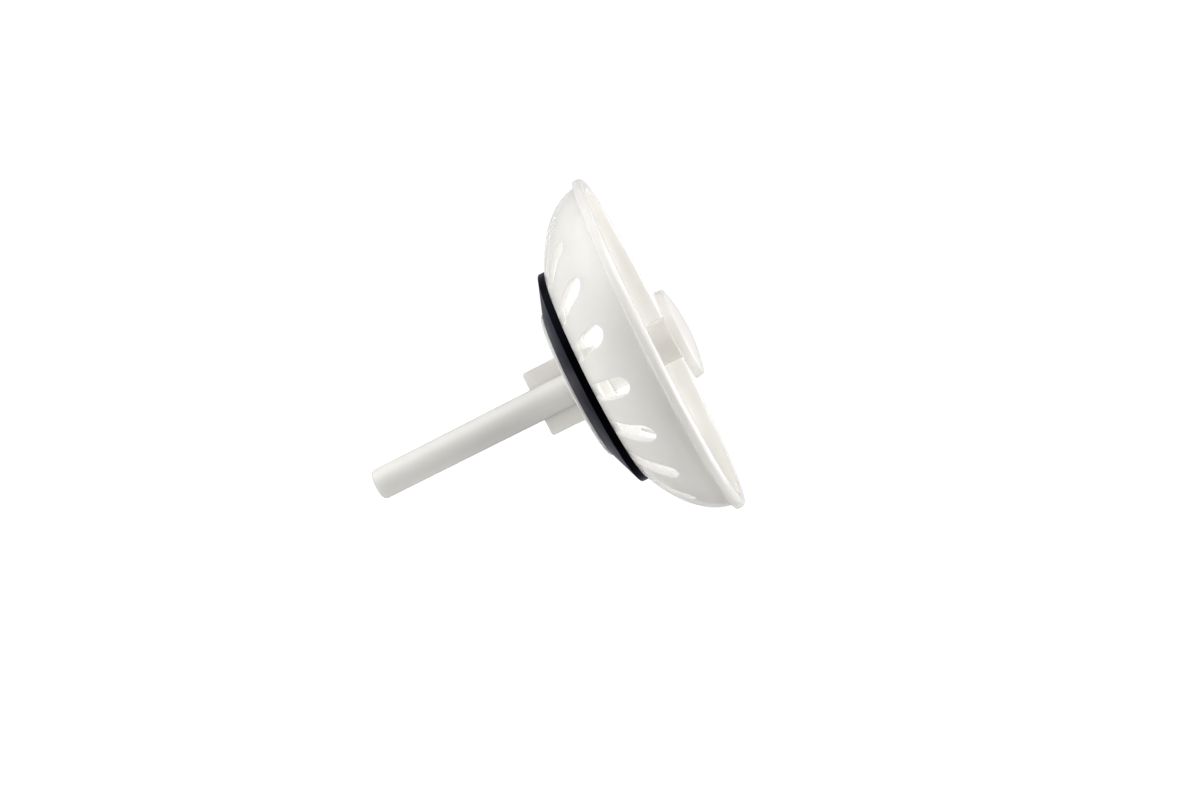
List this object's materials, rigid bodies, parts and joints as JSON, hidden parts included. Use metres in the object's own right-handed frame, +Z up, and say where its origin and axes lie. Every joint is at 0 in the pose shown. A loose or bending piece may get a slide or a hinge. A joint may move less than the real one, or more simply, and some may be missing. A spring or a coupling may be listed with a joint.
{
  "type": "sink strainer basket",
  "caption": "White moulded sink strainer basket with tapered slots, a black rubber seal, a mushroom knob and a long winged spindle that turns with the knob.",
  "frame": {"origin": "On the spindle's axis, in the plane of the rubber seal's lower outer edge, where the seal lands in the outlet.", "axes": "+Z runs up the spindle to the knob. The two wings lie along X. +Y completes the right-handed frame."},
  "size_m": [0.084, 0.084, 0.0817],
  "materials": {
    "white_plastic": "glossy",
    "black_rubber": "satin"
  },
  "bodies": {
    "basket": {"basket_bowl": "white_plastic", "rubber_seal": "black_rubber", "seal_retainer": "white_plastic"},
    "spindle": {"spindle": "white_plastic", "spindle_o_ring": "black_rubber", "knob": "white_plastic"}
  },
  "joints": [
    {"name": "knob_turn", "type": "hinge", "parent": "basket", "child": "spindle", "pos_m": [0, 0, 0], "axis": [0, 0, 1], "continuous": true}
  ]
}
